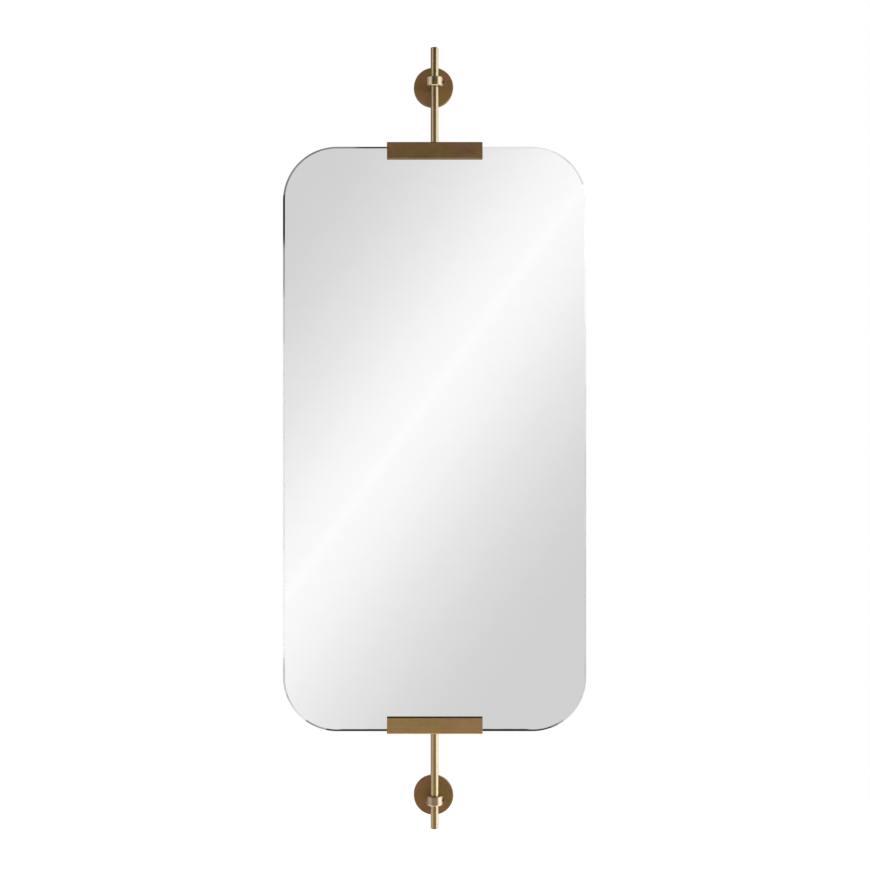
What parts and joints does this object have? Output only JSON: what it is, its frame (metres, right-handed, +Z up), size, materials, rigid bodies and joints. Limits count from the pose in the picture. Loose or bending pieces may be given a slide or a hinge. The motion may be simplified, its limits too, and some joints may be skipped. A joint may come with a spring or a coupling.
{
  "type": "pivot wall mirror",
  "caption": "Frameless wall mirror with round corners, gripped by brass channel bars at top and bottom, which swings on upright rods in collars on round wall rosettes.",
  "frame": {"origin": "centre of the wall screw holes, on the wall plane", "axes": "+Z up along the pivot axis, +Y into the wall, so that the mirror faces -Y; +X to the right as seen by somebody in front of the mirror"},
  "size_m": [0.493, 0.063, 1.27],
  "materials": {
    "silvered_glass": "polished silvered pane with a polished bevel along its edges",
    "backing_board": "dark lacquered fibreboard",
    "aged_brass": "dark aged brass, finely brushed",
    "rod_brass": "aged brass, brushed and rubbed brighter by handling",
    "zinc_steel": "zinc plated, satin",
    "black_steel": "black oxide, satin",
    "black_rubber": "matt extruded rubber",
    "nylon": "dark moulded nylon"
  },
  "bodies": {
    "wall_fixings": {"upper_wall_plate": "zinc_steel", "lower_wall_plate": "zinc_steel", "upper_rosette": "aged_brass", "lower_rosette": "aged_brass", "upper_rosette_screw": "black_steel", "lower_rosette_screw": "black_steel", "upper_post": "rod_brass", "lower_post": "rod_brass", "upper_post_screw": "zinc_steel", "lower_post_screw": "zinc_steel", "upper_post_washer": "zinc_steel", "lower_post_washer": "zinc_steel", "upper_collar": "rod_brass", "lower_collar": "rod_brass", "upper_collar_bush": "nylon", "lower_collar_bush": "nylon", "upper_collar_plug": "nylon", "lower_collar_plug": "nylon", "upper_collar_screw": "black_steel", "lower_collar_screw": "black_steel"},
    "mirror": {"mirror_glass": "silvered_glass", "backing_board": "backing_board", "upper_clamp_bar": "aged_brass", "lower_clamp_bar": "aged_brass", "upper_gasket": "black_rubber", "lower_gasket": "black_rubber", "upper_pressure_plate": "zinc_steel", "lower_pressure_plate": "zinc_steel", "upper_clamp_screws": "black_steel", "lower_clamp_screws": "black_steel", "upper_rod": "rod_brass", "lower_rod": "rod_brass", "upper_rod_screw": "zinc_steel", "lower_rod_screw": "zinc_steel"}
  },
  "joints": [
    {"name": "mirror_swing", "type": "hinge", "parent": "wall_fixings", "child": "mirror", "pos_m": [0, -0.05, 0], "axis": [0, 0, 1], "range_deg": [-10.5, 10.5]}
  ]
}
